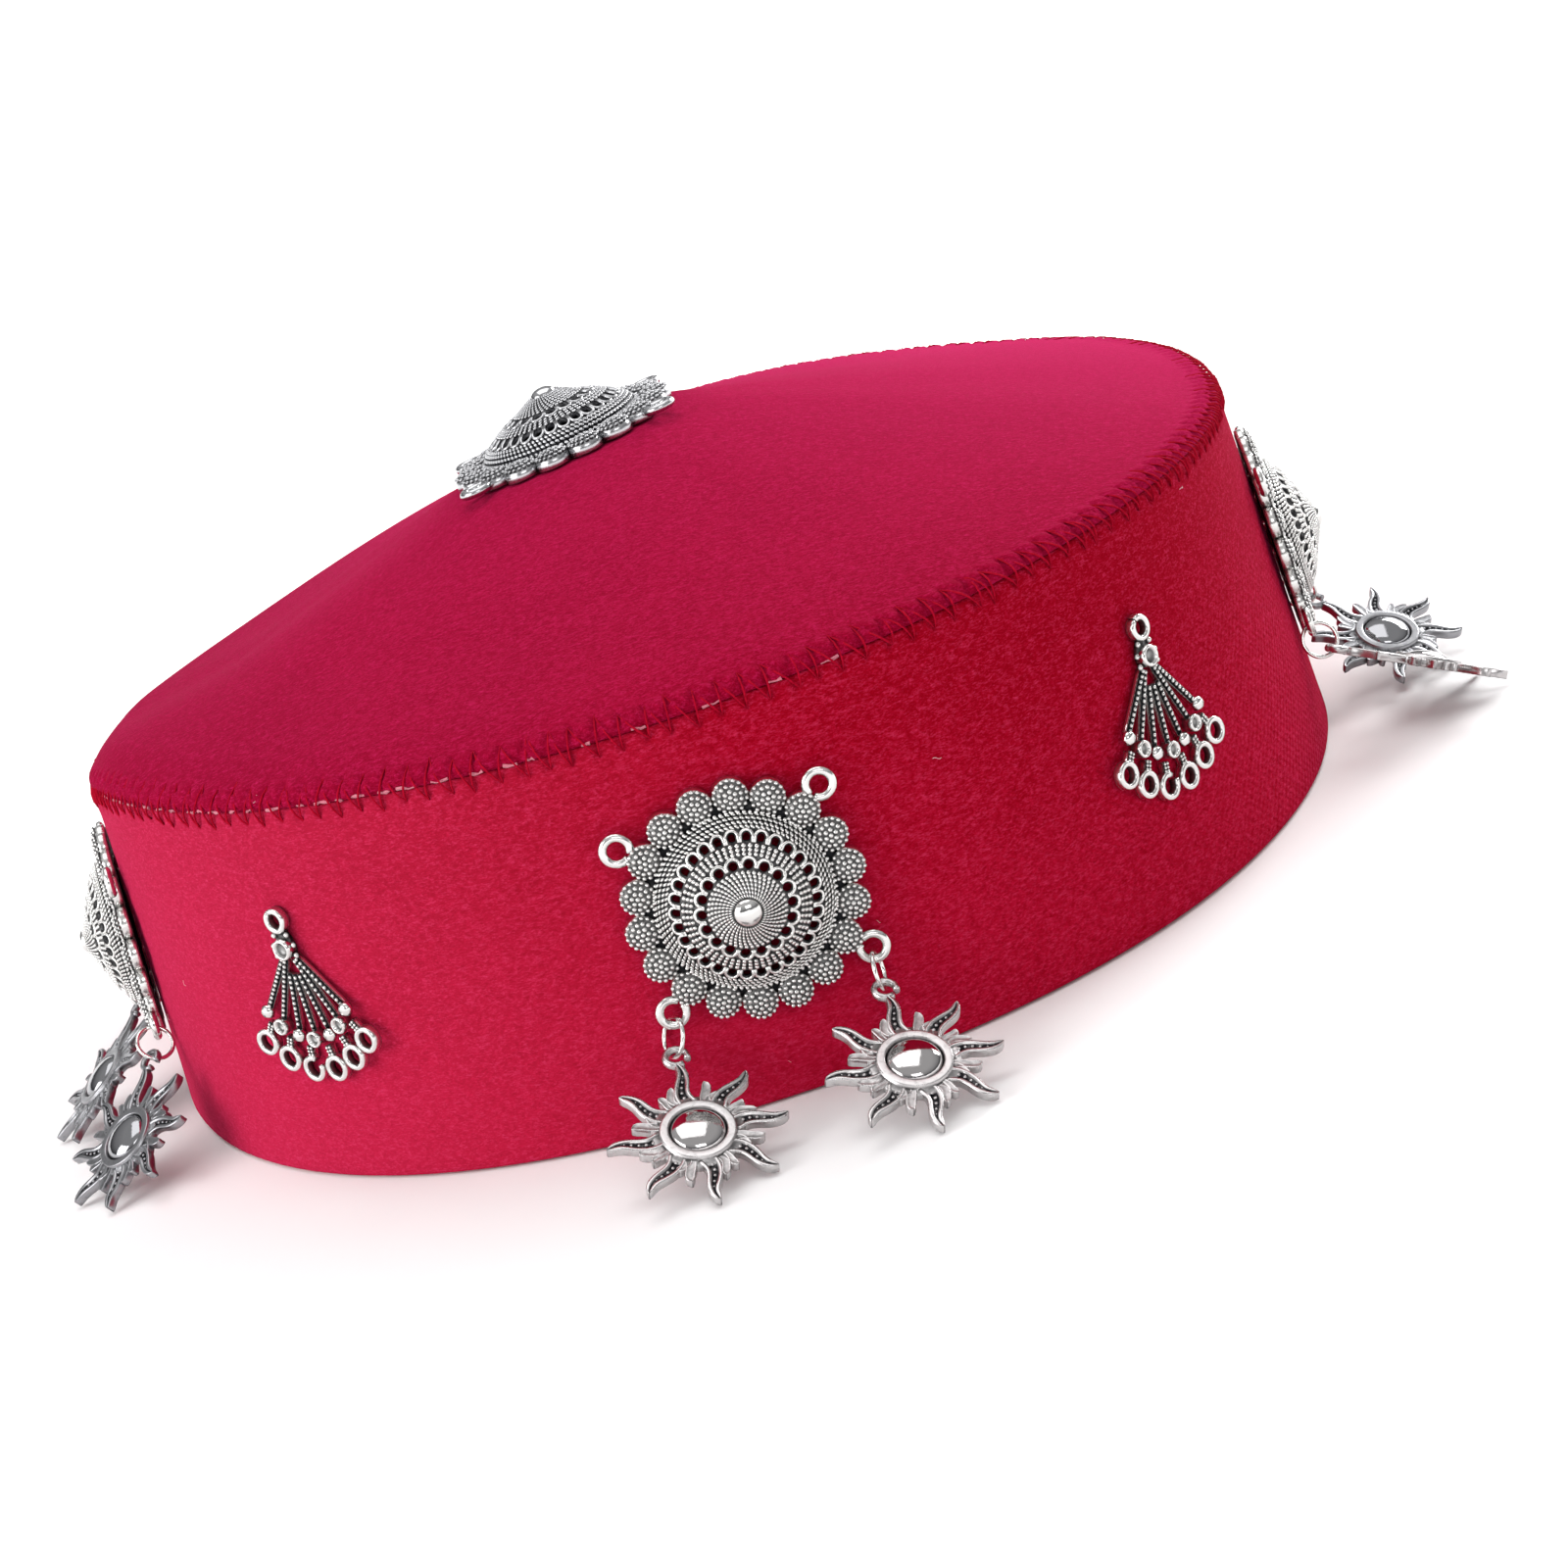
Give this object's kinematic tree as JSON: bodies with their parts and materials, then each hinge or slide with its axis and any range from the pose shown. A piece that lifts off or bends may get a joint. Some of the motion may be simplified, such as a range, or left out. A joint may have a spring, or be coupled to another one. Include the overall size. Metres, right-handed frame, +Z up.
{
  "type": "kazakh hat",
  "caption": "Low round stiff velvet hat with a shallow peaked crown and cast silver medallions, sun drops and fan charms sewn round the band.",
  "frame": {"origin": "centre of the oval rim, in the plane that the hat stands on", "axes": "+Z up towards the crown, -Y to the front medallion, +X to the side medallion with the low shoulder"},
  "size_m": [0.2159, 0.2396, 0.078],
  "materials": {
    "band_velvet": "crimson cotton velvet, short pile",
    "crown_velvet": "crimson cotton velvet, short pile",
    "cast_silver": "antique silver plate on cast alloy, dark in the hollows",
    "charm_silver": "antique silver plate on cast alloy, dark in the hollows",
    "bright_wire": "bright plated wire",
    "sun_silver": "polished silver plate, dark between the rims"
  },
  "bodies": {
    "root": {"band": "band_velvet", "crown": "crown_velvet", "medallion_front": "cast_silver", "medallion_right": "cast_silver", "medallion_left": "cast_silver", "medallion_back": "cast_silver", "medallion_crown": "cast_silver", "ring_front_left": "bright_wire", "ring_front_right": "bright_wire", "ring_left_back": "bright_wire", "ring_left_front": "bright_wire", "ring_right_front": "bright_wire", "ring_right_back": "bright_wire", "ring_back_left": "bright_wire", "ring_back_right": "bright_wire", "sun_front_left": "sun_silver", "sun_front_right": "sun_silver", "sun_left_back": "sun_silver", "sun_left_front": "sun_silver", "sun_right_front": "sun_silver", "sun_right_back": "sun_silver", "sun_back_left": "sun_silver", "sun_back_right": "sun_silver", "charm_front_right": "charm_silver", "charm_front_left": "charm_silver", "charm_back_right": "charm_silver", "charm_back_left": "charm_silver"}
  },
  "joints": []
}
